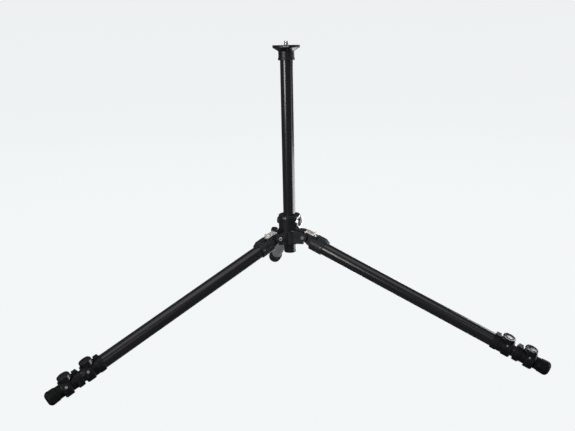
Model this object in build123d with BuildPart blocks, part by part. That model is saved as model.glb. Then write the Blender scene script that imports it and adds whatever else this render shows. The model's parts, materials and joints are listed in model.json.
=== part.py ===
from build123d import *
from math import cos, radians, sin, tan
import os

# A photographer's three-legged stand with three-section flip-lock legs, a sliding centre
# column and a camera plate. Millimetres. The origin is the middle of the plate's top face,
# +Z is up along the column, and each leg lies over one azimuth of LEGS.

os.makedirs("parts", exist_ok=True)

# ---------------------------------------------------------------- driving dimensions
LEGS = (("rear", 90.0), ("left", 210.0), ("right", 330.0))
SPREAD = 67.3  # a leg's axis from straight down, resting on its angle latch
APEX_Z = -413.0  # height at which the three leg axes meet on the column's axis
PIVOT_R = 39.3  # a leg's pivot from the column's axis
PIVOT_LIFT = 6.0  # a leg's pivot above the leg's own axis
FOOT_END = 584.6  # along a leg, from beside its pivot to the end of its foot
FIT = 0.3  # room between faces that slide past each other
SEAT = 0.05  # room between pieces that are glued, pressed or screwed together

# camera plate and column
PLATE_R, PLATE_RIM, PLATE_CONE = 30.0, 5.5, 11.5
NECK_R, NECK_FLARE_R, NECK_BOTTOM = 17.4, 18.3, 32.0
STUD_R, STUD_HEIGHT, STUD_CHAMFER = 4.76, 8.6, 0.8
STUD_SHANK_R, STUD_ROOT_R, STUD_ROOT_DEPTH, STUD_ROOT_HEIGHT = 5.0, 6.0, 9.0, 4.5
GRUB_R, GRUB_CIRCLE, GRUB_LENGTH = 2.2, 22.5, 7.0
COLUMN_R, COLUMN_WALL = 14.0, 1.5
COLUMN_TOP, COLUMN_BOTTOM = -14.0, APEX_Z - 47.0
END_CAP_FLANGE, END_CAP_PLUG = 4.0, 14.0

# spider and collar, heights measured from the apex
SPIDER_TOP, SPIDER_BOTTOM, HUB_R = 2.5, -29.0, 24.8
BORE_R = COLUMN_R + FIT
EAR_INNER, EAR_OUTER, EAR_R = 12.0, 18.0, 9.5
STOP_FACE_R, STOP_TOP, STOP_LOW, STOP_HALF_WIDTH = 40.0, 4.5, -9.0, 6.0
COLLAR_TOP, LINER_R, LINER_BOTTOM = 38.0, 16.4, 7.0
PIVOT_BOLT_R, BOLT_HEAD_R, BOLT_HEAD, BOLT_HEX_R = 3.2, 4.3, 1.8, 2.2
SCREW_R, SCREW_HEAD_R, SCREW_HEAD, SCREW_CIRCLE, SCREW_TOP = 2.0, 3.5, 4.0, 19.6, 8.0

# cross sleeve, on a level axis through the collar
SLEEVE_AZIMUTH, SLEEVE_HEIGHT = 330.0, 22.4
SLEEVE_R, SLEEVE_FACE, SLEEVE_POCKET = 15.4, 23.2, 18.6
BEZEL_INNER_R, BEZEL_DEPTH, BEZEL_STEP = 10.2, 3.8, 0.7
FRONT_CAP_R, FRONT_CAP_END = 9.9, 28.2
BACK_FACE, BACK_CAP_R, BACK_PLUG_R, BACK_CAP_END = 25.4, 8.0, 5.5, 28.2

# column lock, a knob on a threaded spindle at the back
LOCK_AZIMUTH, LOCK_HEIGHT = 150.0, -4.0
LOCK_BLOCK_HALF, LOCK_BLOCK_TOP = 8.6, 4.4
SPINDLE_R, SPINDLE_TIP, SPINDLE_END = 4.0, 18.2, 41.5
SPINDLE_COLLAR_R, SPINDLE_COLLAR_START, SPINDLE_COLLAR_END = 5.2, 31.2, 33.8
PAD_R, PAD_END = 5.6, 17.9
KNOB_R, KNOB_START, KNOB_END, KNOB_FLUTES = 8.0, 34.0, 45.0, 8

# leg tubes, measured along the leg from its pivot
UPPER_R, MIDDLE_R, LOWER_R, TUBE_WALL = 14.6, 12.5, 10.2, 1.2
UPPER_START, MIDDLE_START, LOWER_START = 24.5, 28.5, 62.0
BUSH_LENGTH, BUSH_LIP = 24.0, 2.5

# shoulder
TONGUE_R, TONGUE_HALF_WIDTH, TONGUE_UNDER = 8.0, 11.7, 7.8
SOCKET_R, SOCKET_START, SOCKET_END = 16.8, 20.0, 51.0
BED_TOP, BED_HALF_WIDTH, BED_START = 15.6, 10.4, -2.0
RIB_START, RIB_END, RIB_TOP, RIB_HALF_WIDTH = 26.4, 58.0, 21.4, 6.6
RAIL_TOP, RAIL_INNER = 18.4, 8.9

# angle latch on top of the shoulder
LATCH_NOSE, LATCH_END, LATCH_TOP, LATCH_HALF_WIDTH = -3.0, 19.6, 20.4, 8.6
LIP_START, LIP_TOP, STEM_END, STEM_HALF_WIDTH, STEM_TOP = 15.0, 23.6, 36.0, 3.4, 18.8

# flip locks: a collar on the outer tube, a neck, then a split ring on the inner tube
LOCK_COLLAR, LOCK_NECK, LOCK_RING = 14.0, 11.0, 18.0
COLLAR_R, RING_R, BUMP_TOP, BUMP_HALF_WIDTH = 16.8, 18.2, 19.0, 7.0
UPPER_LOCK_END, LOWER_LOCK_END = FOOT_END - 81.5, FOOT_END - 33.0
UPPER_NECK_R, LOWER_NECK_R = 16.0, 14.2
LEVER_TILT = 4.0  # how far round from the top of the leg the levers sit
PIN_BEHIND_RING, PIN_HEIGHT, PIN_R, PIN_HALF_LENGTH = 7.5, 19.4, 1.6, 8.6
LUG_R, LUG_HALF_WIDTH, LUG_REACH = 3.0, 4.0, 6.6
LEVER_ROOT_R, LEVER_ROOT_HALF, LEVER_TOP = 3.6, 8.4, 24.6
DISC_R, DISC_CENTRE, DISH_R, DISH_DEPTH = 13.6, 9.6, 11.6, 0.9
WEB_START, WEB_UNDER, SPLIT_WIDTH = 8.0, 22.75, 1.6

# screws in a flip lock's side: distance before the ring's end, angle from the top, head radius
RING_SCREW, RING_SCREW_ANGLE, RING_SCREW_R = 8.5, -62.0, 2.9
SIDE_SCREW, SIDE_SCREW_ANGLE, SIDE_SCREW_R = 12.0, 58.0, 1.9
SIDE_SCREWS = (
    (RING_SCREW, RING_SCREW_ANGLE, RING_SCREW_R),
    (SIDE_SCREW, SIDE_SCREW_ANGLE, SIDE_SCREW_R),
)

FOOT_START, FOOT_RIM_R, FOOT_R = FOOT_END - 32.5, 13.2, 15.0

# a leg's pivot above the apex, so that the leg's own axis runs through the apex
PIVOT_Y = PIVOT_LIFT / sin(radians(SPREAD)) - PIVOT_R / tan(radians(SPREAD))


def radial(azimuth):
    """The level unit vector that points outwards at an azimuth."""
    return Vector(cos(radians(azimuth)), sin(radians(azimuth)), 0)


def leg_plane(azimuth):
    """The plane across a leg beside its pivot: its normal runs down the leg, x is the top side."""
    out = radial(azimuth)
    up = Vector(0, 0, 1)
    along = out * sin(radians(SPREAD)) - up * cos(radians(SPREAD))
    top = out * cos(radians(SPREAD)) + up * sin(radians(SPREAD))
    pivot = out * PIVOT_R + up * (APEX_Z + PIVOT_Y)
    return Plane(origin=pivot - top * PIVOT_LIFT, x_dir=top, z_dir=along)


def turned(across, angle):
    """The same plane with its x turned about its normal, towards its y."""
    x_dir = across.x_dir * cos(radians(angle)) + across.y_dir * sin(radians(angle))
    return Plane(origin=across.origin, x_dir=x_dir, z_dir=across.z_dir)


def side_plane(across, shift=0.0):
    """The plane holding a leg's axis: sketch x runs down the leg, sketch y to its top side."""
    return Plane(origin=across.origin, x_dir=across.z_dir, z_dir=across.y_dir).offset(shift)


def top_plane(across, height):
    """The plane over a leg: sketch x runs down the leg, its normal is the top side."""
    return Plane(origin=across.origin, x_dir=across.z_dir, z_dir=across.x_dir).offset(height)


def spoke(azimuth, height, radius=0.0):
    """The upright plane that faces outwards at an azimuth: sketch y is up."""
    out = radial(azimuth)
    side = Vector(-out.Y, out.X, 0)
    return Plane(origin=out * radius + Vector(0, 0, APEX_Z + height), x_dir=side, z_dir=out)


def upright(azimuth, shift=0.0):
    """The upright plane through the column's axis: sketch x is outwards, sketch y is up."""
    out = radial(azimuth)
    side = Vector(-out.Y, out.X, 0)
    return Plane(origin=(0, 0, APEX_Z), x_dir=out, z_dir=side * -1).offset(shift)


def screw_plane(across, along, angle, height):
    """The plane of a screw head in a lock's side, facing straight out of the leg."""
    facing = turned(across, angle)
    out = facing.x_dir
    at = across.origin + across.z_dir * along + out * height
    return Plane(origin=at, x_dir=across.z_dir, z_dir=out)


def save(builder, name):
    """Names a finished piece and writes it to its own STEP file."""
    builder.part.label = name
    export_step(builder.part, f"parts/{name}.step")


# ---------------------------------------------------------------- camera plate and column
with BuildPart() as head_plate:
    with BuildSketch(Plane.XZ):
        with BuildLine():
            Polyline(
                (0, 0),
                (PLATE_R - 0.8, 0),
                (PLATE_R, -0.8),
                (PLATE_R - 0.4, -PLATE_RIM),
                (NECK_R + 2.0, -PLATE_CONE),
                (NECK_R, -PLATE_CONE - 2.0),
                (NECK_R, -NECK_BOTTOM + 6),
                (NECK_FLARE_R, -NECK_BOTTOM + 4.5),
                (NECK_FLARE_R, -NECK_BOTTOM + 0.8),
                (NECK_FLARE_R - 0.8, -NECK_BOTTOM),
                (COLUMN_R + SEAT, -NECK_BOTTOM),
                (COLUMN_R + SEAT, COLUMN_TOP + SEAT),
                (0, COLUMN_TOP + SEAT),
                close=True,
            )
        make_face()
    revolve(axis=Axis.Z)
    with BuildSketch(Plane.XY.offset(-STUD_ROOT_DEPTH - SEAT)):
        Circle(STUD_ROOT_R + SEAT)
    extrude(amount=STUD_ROOT_HEIGHT + 2 * SEAT, mode=Mode.SUBTRACT)
    with BuildSketch(Plane.XY):
        Circle(STUD_SHANK_R + SEAT)
    extrude(amount=-STUD_ROOT_DEPTH, mode=Mode.SUBTRACT)
    with BuildSketch(Plane.XY):
        with PolarLocations(GRUB_CIRCLE, 3, start_angle=30):
            Circle(GRUB_R + SEAT)
    extrude(amount=-PLATE_CONE - 3, mode=Mode.SUBTRACT)
save(head_plate, "head_plate")

with BuildPart() as head_stud:
    with BuildSketch(Plane.XY.offset(-STUD_ROOT_DEPTH)):
        Circle(STUD_ROOT_R)
    extrude(amount=STUD_ROOT_HEIGHT)
    with BuildSketch(Plane.XY.offset(-STUD_ROOT_DEPTH)):
        Circle(STUD_SHANK_R)
    extrude(amount=STUD_ROOT_DEPTH)
    with BuildSketch(Plane.XY):
        Circle(STUD_R)
    extrude(amount=STUD_HEIGHT)
    chamfer(head_stud.faces().sort_by(Axis.Z)[-1].edges(), STUD_CHAMFER)
save(head_stud, "head_stud")

with BuildPart() as plate_screws:
    with BuildSketch(Plane.XY.offset(-0.5)):
        with PolarLocations(GRUB_CIRCLE, 3, start_angle=30):
            Circle(GRUB_R)
    extrude(amount=-GRUB_LENGTH)
    with BuildSketch(Plane.XY.offset(-0.5 - GRUB_LENGTH)):
        with PolarLocations(GRUB_CIRCLE, 3, start_angle=30):
            RegularPolygon(1.2, 6)
    extrude(amount=2.5, mode=Mode.SUBTRACT)
save(plate_screws, "plate_screws")

with BuildPart() as column_tube:
    with BuildSketch(Plane.XY.offset(COLUMN_BOTTOM)):
        Circle(COLUMN_R)
        Circle(COLUMN_R - COLUMN_WALL, mode=Mode.SUBTRACT)
    extrude(amount=COLUMN_TOP - COLUMN_BOTTOM)
save(column_tube, "column_tube")

with BuildPart() as column_end_cap:
    with BuildSketch(Plane.XY.offset(COLUMN_BOTTOM - SEAT)):
        Circle(COLUMN_R - 0.2)
    extrude(amount=-END_CAP_FLANGE)
    chamfer(column_end_cap.faces().sort_by(Axis.Z)[0].edges(), 1.2)
    with BuildSketch(Plane.XY.offset(COLUMN_BOTTOM - END_CAP_FLANGE / 2)):
        Circle(COLUMN_R - COLUMN_WALL - SEAT)
    extrude(amount=END_CAP_PLUG)
    with BuildSketch(Plane.XY.offset(COLUMN_BOTTOM)):
        Circle(COLUMN_R - COLUMN_WALL - 2)
    extrude(amount=END_CAP_PLUG, mode=Mode.SUBTRACT)
save(column_end_cap, "column_end_cap")

# ---------------------------------------------------------------- spider
with BuildPart() as spider:
    with BuildSketch(Plane.XY.offset(APEX_Z + SPIDER_BOTTOM)):
        Circle(HUB_R)
    extrude(amount=SPIDER_TOP - SPIDER_BOTTOM)
    chamfer(spider.faces().sort_by(Axis.Z)[0].edges(), 2)
    # two ears and an angle stop for each leg
    for name, azimuth in LEGS:
        for edge in (-EAR_OUTER, EAR_INNER):
            with BuildSketch(upright(azimuth, edge)):
                with BuildLine():
                    Polyline(
                        (10, SPIDER_TOP),
                        (PIVOT_R - 9, SPIDER_TOP),
                        (PIVOT_R + 4, PIVOT_Y + 8.61),
                        (PIVOT_R, PIVOT_Y),
                        (PIVOT_R + 1, SPIDER_BOTTOM + 4),
                        (10, SPIDER_BOTTOM + 2.5),
                        close=True,
                    )
                make_face()
                with Locations((PIVOT_R, PIVOT_Y)):
                    Circle(EAR_R)
            extrude(amount=EAR_OUTER - EAR_INNER)
        with BuildSketch(upright(azimuth, -STOP_HALF_WIDTH)):
            with BuildLine():
                Polyline(
                    (15, STOP_LOW),
                    (HUB_R + 0.5, STOP_LOW),
                    (STOP_FACE_R - 7, STOP_LOW + 6),
                    (STOP_FACE_R, STOP_LOW + 8.5),
                    (STOP_FACE_R, STOP_TOP - 1.5),
                    (STOP_FACE_R - 1.5, STOP_TOP),
                    (HUB_R + 0.2, STOP_TOP),
                    (HUB_R + 0.2, SPIDER_TOP),
                    (15, SPIDER_TOP),
                    close=True,
                )
            make_face()
        extrude(amount=2 * STOP_HALF_WIDTH)
        with BuildSketch(upright(azimuth, -EAR_OUTER - 1)):
            with Locations((PIVOT_R, PIVOT_Y)):
                Circle(PIVOT_BOLT_R + SEAT)
        extrude(amount=2 * EAR_OUTER + 2, mode=Mode.SUBTRACT)
    # raised block that carries the column lock
    with BuildSketch(spoke(LOCK_AZIMUTH, SPIDER_TOP - 3, 0)):
        with Locations((0, (LOCK_BLOCK_TOP - SPIDER_TOP + 3) / 2)):
            Rectangle(2 * LOCK_BLOCK_HALF, LOCK_BLOCK_TOP - SPIDER_TOP + 3)
    extrude(amount=HUB_R - 0.4)
    with BuildSketch(Plane.XY.offset(APEX_Z + SPIDER_BOTTOM - 5)):
        Circle(BORE_R)
    extrude(amount=60, mode=Mode.SUBTRACT)
    with BuildSketch(spoke(LOCK_AZIMUTH, LOCK_HEIGHT)):
        Circle(SPINDLE_R + SEAT)
    extrude(amount=HUB_R + 5, mode=Mode.SUBTRACT)
    with BuildSketch(spoke(LOCK_AZIMUTH, LOCK_HEIGHT)):
        Circle(PAD_R + SEAT)
    extrude(amount=PAD_END + 0.5, mode=Mode.SUBTRACT)
    # counterbored holes for the screws that hold the collar down
    for name, azimuth in LEGS:
        at = radial(azimuth) * SCREW_CIRCLE
        with BuildSketch(Plane.XY.offset(APEX_Z + SPIDER_BOTTOM)):
            with Locations((at.X, at.Y)):
                Circle(SCREW_R + SEAT)
        extrude(amount=SPIDER_TOP - SPIDER_BOTTOM, mode=Mode.SUBTRACT)
        with BuildSketch(Plane.XY.offset(APEX_Z + SPIDER_BOTTOM)):
            with Locations((at.X, at.Y)):
                Circle(SCREW_HEAD_R + 0.2)
        extrude(amount=SCREW_HEAD + 1, mode=Mode.SUBTRACT)
save(spider, "spider")

# ---------------------------------------------------------------- collar and its sleeve
with BuildPart() as collar:
    with BuildSketch(Plane.XY.offset(APEX_Z + SPIDER_TOP + SEAT)):
        Circle(HUB_R)
    extrude(amount=COLLAR_TOP - SPIDER_TOP - SEAT)
    chamfer(collar.faces().sort_by(Axis.Z)[-1].edges(), 1.2)
    with BuildSketch(spoke(SLEEVE_AZIMUTH, SLEEVE_HEIGHT)):
        Circle(SLEEVE_R)
    extrude(amount=SLEEVE_FACE)
    with BuildSketch(spoke(SLEEVE_AZIMUTH + 180, SLEEVE_HEIGHT)):
        Circle(BACK_CAP_R + 1.4)
    extrude(amount=BACK_FACE)
    with BuildSketch(Plane.XY.offset(APEX_Z + SPIDER_TOP)):
        Circle(BORE_R)
    extrude(amount=60, mode=Mode.SUBTRACT)
    with BuildSketch(Plane.XY.offset(APEX_Z + LINER_BOTTOM)):
        Circle(LINER_R + SEAT)
    extrude(amount=60, mode=Mode.SUBTRACT)
    with BuildSketch(spoke(SLEEVE_AZIMUTH, SLEEVE_HEIGHT, SLEEVE_FACE)):
        Circle(SLEEVE_R + 0.4)
    extrude(amount=30, mode=Mode.SUBTRACT)
    with BuildSketch(spoke(SLEEVE_AZIMUTH, SLEEVE_HEIGHT, SLEEVE_POCKET)):
        Circle(FRONT_CAP_R + SEAT)
    extrude(amount=30, mode=Mode.SUBTRACT)
    with BuildSketch(spoke(SLEEVE_AZIMUTH + 180, SLEEVE_HEIGHT, SLEEVE_POCKET)):
        Circle(BACK_PLUG_R + SEAT)
    extrude(amount=30, mode=Mode.SUBTRACT)
    with BuildSketch(spoke(LOCK_AZIMUTH, SPIDER_TOP - 3, 0)):
        with Locations((0, (LOCK_BLOCK_TOP - SPIDER_TOP + 3) / 2)):
            Rectangle(2 * LOCK_BLOCK_HALF + 2 * SEAT, LOCK_BLOCK_TOP - SPIDER_TOP + 3 + 2 * SEAT)
    extrude(amount=40, mode=Mode.SUBTRACT)
    for name, azimuth in LEGS:
        at = radial(azimuth) * SCREW_CIRCLE
        with BuildSketch(Plane.XY.offset(APEX_Z + SPIDER_TOP)):
            with Locations((at.X, at.Y)):
                Circle(SCREW_R + SEAT)
        extrude(amount=SCREW_TOP + 0.4 - SPIDER_TOP, mode=Mode.SUBTRACT)
save(collar, "collar")

with BuildPart() as column_liner:
    with BuildSketch(Plane.XY.offset(APEX_Z + LINER_BOTTOM + SEAT)):
        Circle(LINER_R)
        Circle(BORE_R, mode=Mode.SUBTRACT)
    extrude(amount=COLLAR_TOP - LINER_BOTTOM - 0.3)
save(column_liner, "column_liner")

with BuildPart() as sleeve_bezel:
    with BuildSketch(spoke(SLEEVE_AZIMUTH, SLEEVE_HEIGHT, SLEEVE_FACE + SEAT)):
        Circle(SLEEVE_R)
        Circle(BEZEL_INNER_R, mode=Mode.SUBTRACT)
    extrude(amount=BEZEL_DEPTH - BEZEL_STEP)
    with BuildSketch(spoke(SLEEVE_AZIMUTH, SLEEVE_HEIGHT, SLEEVE_FACE + SEAT)):
        Circle(SLEEVE_R - BEZEL_STEP)
        Circle(BEZEL_INNER_R, mode=Mode.SUBTRACT)
    extrude(amount=BEZEL_DEPTH)
save(sleeve_bezel, "sleeve_bezel")

with BuildPart() as sleeve_caps:
    with BuildSketch(spoke(SLEEVE_AZIMUTH, SLEEVE_HEIGHT, SLEEVE_POCKET + SEAT)):
        Circle(FRONT_CAP_R)
    extrude(amount=FRONT_CAP_END - SLEEVE_POCKET - 1.5)
    with BuildSketch(spoke(SLEEVE_AZIMUTH, SLEEVE_HEIGHT, SLEEVE_POCKET + SEAT)):
        Circle(FRONT_CAP_R - 1.5)
    extrude(amount=FRONT_CAP_END - SLEEVE_POCKET)
    with BuildSketch(spoke(SLEEVE_AZIMUTH + 180, SLEEVE_HEIGHT, SLEEVE_POCKET + SEAT)):
        Circle(BACK_PLUG_R)
    extrude(amount=BACK_FACE - SLEEVE_POCKET + 1)
    with BuildSketch(spoke(SLEEVE_AZIMUTH + 180, SLEEVE_HEIGHT, BACK_FACE + SEAT)):
        Circle(BACK_CAP_R)
    extrude(amount=BACK_CAP_END - BACK_FACE)
save(sleeve_caps, "sleeve_caps")

with BuildPart() as collar_screws:
    for name, azimuth in LEGS:
        at = radial(azimuth) * SCREW_CIRCLE
        with BuildSketch(Plane.XY.offset(APEX_Z + SPIDER_BOTTOM + 1 - SEAT)):
            with Locations((at.X, at.Y)):
                Circle(SCREW_HEAD_R)
        extrude(amount=SCREW_HEAD)
        with BuildSketch(Plane.XY.offset(APEX_Z + SPIDER_BOTTOM + 2)):
            with Locations((at.X, at.Y)):
                Circle(SCREW_R)
        extrude(amount=SCREW_TOP - SPIDER_BOTTOM - 2)
        with BuildSketch(Plane.XY.offset(APEX_Z + SPIDER_BOTTOM)):
            with Locations((at.X, at.Y)):
                RegularPolygon(1.8, 6)
        extrude(amount=3.2, mode=Mode.SUBTRACT)
save(collar_screws, "collar_screws")

with BuildPart() as pivot_bolts:
    for name, azimuth in LEGS:
        with BuildSketch(upright(azimuth, -EAR_OUTER - SEAT)):
            with Locations((PIVOT_R, PIVOT_Y)):
                Circle(PIVOT_BOLT_R)
        extrude(amount=2 * EAR_OUTER + 2 * SEAT)
        for start in (-EAR_OUTER - SEAT - BOLT_HEAD, EAR_OUTER + SEAT):
            with BuildSketch(upright(azimuth, start)):
                with Locations((PIVOT_R, PIVOT_Y)):
                    Circle(BOLT_HEAD_R)
            extrude(amount=BOLT_HEAD)
        for start in (-EAR_OUTER - BOLT_HEAD - 1, EAR_OUTER + BOLT_HEAD + 1):
            with BuildSketch(upright(azimuth, start)):
                with Locations((PIVOT_R, PIVOT_Y)):
                    RegularPolygon(BOLT_HEX_R, 6)
            extrude(amount=2.5 if start < 0 else -2.5, mode=Mode.SUBTRACT)
save(pivot_bolts, "pivot_bolts")

# ---------------------------------------------------------------- column lock
with BuildPart() as lock_pad:
    with BuildSketch(spoke(LOCK_AZIMUTH, LOCK_HEIGHT, 0)):
        Circle(PAD_R)
    extrude(amount=PAD_END)
    with BuildSketch(Plane.XY.offset(APEX_Z + LOCK_HEIGHT - 10)):
        Circle(BORE_R)
    extrude(amount=20, mode=Mode.SUBTRACT)
save(lock_pad, "lock_pad")

with BuildPart() as lock_spindle:
    with BuildSketch(spoke(LOCK_AZIMUTH, LOCK_HEIGHT, SPINDLE_TIP)):
        Circle(SPINDLE_R)
    extrude(amount=SPINDLE_END - SPINDLE_TIP)
    with BuildSketch(spoke(LOCK_AZIMUTH, LOCK_HEIGHT, SPINDLE_COLLAR_START)):
        Circle(SPINDLE_COLLAR_R)
    extrude(amount=SPINDLE_COLLAR_END - SPINDLE_COLLAR_START)
save(lock_spindle, "lock_spindle")

with BuildPart() as lock_knob:
    with BuildSketch(spoke(LOCK_AZIMUTH, LOCK_HEIGHT, KNOB_START)):
        Circle(KNOB_R)
        with PolarLocations(KNOB_R + 1.2, KNOB_FLUTES):
            Circle(2.0, mode=Mode.SUBTRACT)
    extrude(amount=KNOB_END - KNOB_START - 1.2)
    with BuildSketch(spoke(LOCK_AZIMUTH, LOCK_HEIGHT, KNOB_START)):
        Circle(KNOB_R - 1.4)
    extrude(amount=KNOB_END - KNOB_START)
    with BuildSketch(spoke(LOCK_AZIMUTH, LOCK_HEIGHT, KNOB_START)):
        Circle(SPINDLE_R + SEAT)
    extrude(amount=SPINDLE_END + SEAT - KNOB_START, mode=Mode.SUBTRACT)
save(lock_knob, "lock_knob")


# ---------------------------------------------------------------- one leg
def make_tube(across, outer, start, end, name):
    """A leg tube between two distances from the pivot."""
    with BuildPart() as tube:
        with BuildSketch(across.offset(start)):
            Circle(outer)
            Circle(outer - TUBE_WALL, mode=Mode.SUBTRACT)
        extrude(amount=end - start)
    save(tube, name)


def make_bush(across, inner, outer, start, name):
    """The guide sleeve at the hidden top end of a sliding tube."""
    with BuildPart() as bush:
        with BuildSketch(across.offset(start - BUSH_LIP)):
            Circle(outer)
            Circle(inner - TUBE_WALL - 0.6, mode=Mode.SUBTRACT)
        extrude(amount=BUSH_LENGTH)
        with BuildSketch(across.offset(start - SEAT)):
            Circle(inner + SEAT)
        extrude(amount=BUSH_LENGTH, mode=Mode.SUBTRACT)
    save(bush, name)


def make_shoulder(across, name):
    """The casting that carries the leg's pivot, its latch and the end of its upper tube."""
    with BuildPart() as shoulder:
        with BuildSketch(side_plane(across)):
            with Locations((0, PIVOT_LIFT)):
                Circle(TONGUE_R)
            with BuildLine():
                Polyline(
                    (0, PIVOT_LIFT - TONGUE_R),
                    (SOCKET_START - 1, -TONGUE_UNDER),
                    (SOCKET_START + 1, -TONGUE_UNDER),
                    (SOCKET_START + 1, BED_TOP),
                    (BED_START, BED_TOP),
                    (BED_START, BED_TOP - 2.5),
                    (0, PIVOT_LIFT),
                    close=True,
                )
            make_face()
        extrude(amount=TONGUE_HALF_WIDTH, both=True)
        with BuildSketch(across.offset(SOCKET_START)):
            Circle(SOCKET_R)
        extrude(amount=SOCKET_END - SOCKET_START)
        # the rib that houses the latch's stem, and the rails beside the latch
        with BuildSketch(side_plane(across)):
            with BuildLine():
                Polyline(
                    (RIB_START, 10),
                    (RIB_START, RIB_TOP - 1.5),
                    (RIB_START + 1.5, RIB_TOP),
                    (RIB_END - 10, RIB_TOP),
                    (RIB_END, UPPER_R + 1.4),
                    (RIB_END, 10),
                    close=True,
                )
            make_face()
        extrude(amount=RIB_HALF_WIDTH, both=True)
        for edge in (-BED_HALF_WIDTH, RAIL_INNER):
            with BuildSketch(side_plane(across, edge)):
                with BuildLine():
                    Polyline(
                        (BED_START + 1.5, BED_TOP - 1),
                        (BED_START + 3.5, RAIL_TOP),
                        (RIB_START, RAIL_TOP),
                        (RIB_START + 6, BED_TOP - 1),
                        close=True,
                    )
                make_face()
            extrude(amount=BED_HALF_WIDTH - RAIL_INNER)
        # socket for the tube, seat for the latch, slot for its stem, bore for the pivot bolt
        with BuildSketch(across.offset(UPPER_START - SEAT)):
            Circle(UPPER_R + SEAT)
        extrude(amount=60, mode=Mode.SUBTRACT)
        with BuildSketch(side_plane(across)):
            with Locations(((BED_START + RIB_START) / 2 - 2, BED_TOP + 5)):
                Rectangle(RIB_START - BED_START + 4, 10)
        extrude(amount=RAIL_INNER, both=True, mode=Mode.SUBTRACT)
        with BuildSketch(side_plane(across)):
            with Locations(((RIB_START + STEM_END + 7) / 2, (BED_TOP + STEM_TOP + FIT) / 2)):
                Rectangle(STEM_END + 7 - RIB_START + 1, STEM_TOP + FIT - BED_TOP)
        extrude(amount=STEM_HALF_WIDTH + FIT, both=True, mode=Mode.SUBTRACT)
        with BuildSketch(side_plane(across)):
            with Locations((0, PIVOT_LIFT)):
                Circle(PIVOT_BOLT_R + SEAT)
        extrude(amount=TONGUE_HALF_WIDTH + 1, both=True, mode=Mode.SUBTRACT)
    save(shoulder, name)


def make_latch(across, name):
    """The sliding catch whose nose rests on the spider's stop and sets the leg's angle."""
    seat = BED_TOP + FIT / 2
    with BuildPart() as latch:
        with BuildSketch(side_plane(across)):
            with BuildLine():
                Polyline(
                    (LATCH_NOSE, seat),
                    (LATCH_NOSE, LATCH_TOP - 2),
                    (LATCH_NOSE + 2, LATCH_TOP),
                    (LIP_START, LATCH_TOP),
                    (LIP_START + 1.5, LIP_TOP),
                    (LATCH_END, LIP_TOP),
                    (LATCH_END, seat),
                    close=True,
                )
            make_face()
        extrude(amount=LATCH_HALF_WIDTH, both=True)
        with BuildSketch(side_plane(across)):
            with Locations(((LATCH_END + STEM_END) / 2 - 1, (seat + STEM_TOP) / 2)):
                Rectangle(STEM_END - LATCH_END + 2, STEM_TOP - seat)
        extrude(amount=STEM_HALF_WIDTH, both=True)
    save(latch, name)


def make_clamp(across, outer, inner, neck_r, end, name):
    """A flip lock's body: glued on the outer tube, with a split ring round the inner tube."""
    collar_start = end - LOCK_RING - LOCK_NECK - LOCK_COLLAR
    ring_start = end - LOCK_RING
    pin_at = ring_start - PIN_BEHIND_RING
    tilted = turned(across, LEVER_TILT)
    with BuildPart() as clamp:
        with BuildSketch(side_plane(tilted)):
            with BuildLine():
                Polyline(
                    (collar_start, 0),
                    (collar_start, COLLAR_R - 0.8),
                    (collar_start + 0.8, COLLAR_R),
                    (collar_start + LOCK_COLLAR - 0.8, COLLAR_R),
                    (collar_start + LOCK_COLLAR, neck_r),
                    (ring_start, neck_r),
                    (ring_start, RING_R - 0.8),
                    (ring_start + 0.8, RING_R),
                    (end - 2.5, RING_R),
                    (end, RING_R - 1.5),
                    (end, 0),
                    close=True,
                )
            make_face()
        revolve(axis=Axis(across.origin, across.z_dir))
        with BuildSketch(side_plane(tilted)):
            with Locations((collar_start + LOCK_COLLAR / 2 - 0.5, BUMP_TOP / 2 + 5)):
                Rectangle(LOCK_COLLAR - 4, BUMP_TOP - 10)
        extrude(amount=BUMP_HALF_WIDTH, both=True)
        with BuildSketch(side_plane(tilted)):
            with Locations((pin_at, PIN_HEIGHT)):
                Circle(LUG_R)
            with BuildLine():
                Polyline(
                    (pin_at - 2.0, PIN_HEIGHT),
                    (pin_at - 1.0, neck_r - 1.5),
                    (pin_at + PIN_BEHIND_RING + 1, neck_r - 1.5),
                    (pin_at + PIN_BEHIND_RING + 1, RING_R - 0.9),
                    (pin_at + LUG_REACH, RING_R - 0.6),
                    (pin_at + 2.4, PIN_HEIGHT + 1.6),
                    (pin_at, PIN_HEIGHT),
                    close=True,
                )
            make_face()
        extrude(amount=LUG_HALF_WIDTH, both=True)
        with BuildSketch(across.offset(collar_start - 1)):
            Circle(outer + SEAT)
        extrude(amount=ring_start - collar_start - 1, mode=Mode.SUBTRACT)
        with BuildSketch(across.offset(collar_start)):
            Circle(inner + FIT)
        extrude(amount=end - collar_start + 1, mode=Mode.SUBTRACT)
        with BuildSketch(side_plane(tilted)):
            with Locations(((pin_at + WEB_START + end) / 2 + 2, RING_R)):
                Rectangle(end - pin_at - WEB_START, RING_R)
        extrude(amount=SPLIT_WIDTH / 2, both=True, mode=Mode.SUBTRACT)
        with BuildSketch(side_plane(tilted)):
            with Locations((pin_at, PIN_HEIGHT)):
                Circle(PIN_R + SEAT)
        extrude(amount=LUG_HALF_WIDTH + 1, both=True, mode=Mode.SUBTRACT)
        for back, angle, head_r in SIDE_SCREWS:
            with BuildSketch(screw_plane(across, end - back, angle, RING_R - 1.8)):
                Circle(head_r + SEAT)
            extrude(amount=6, mode=Mode.SUBTRACT)
    save(clamp, name)


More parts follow.
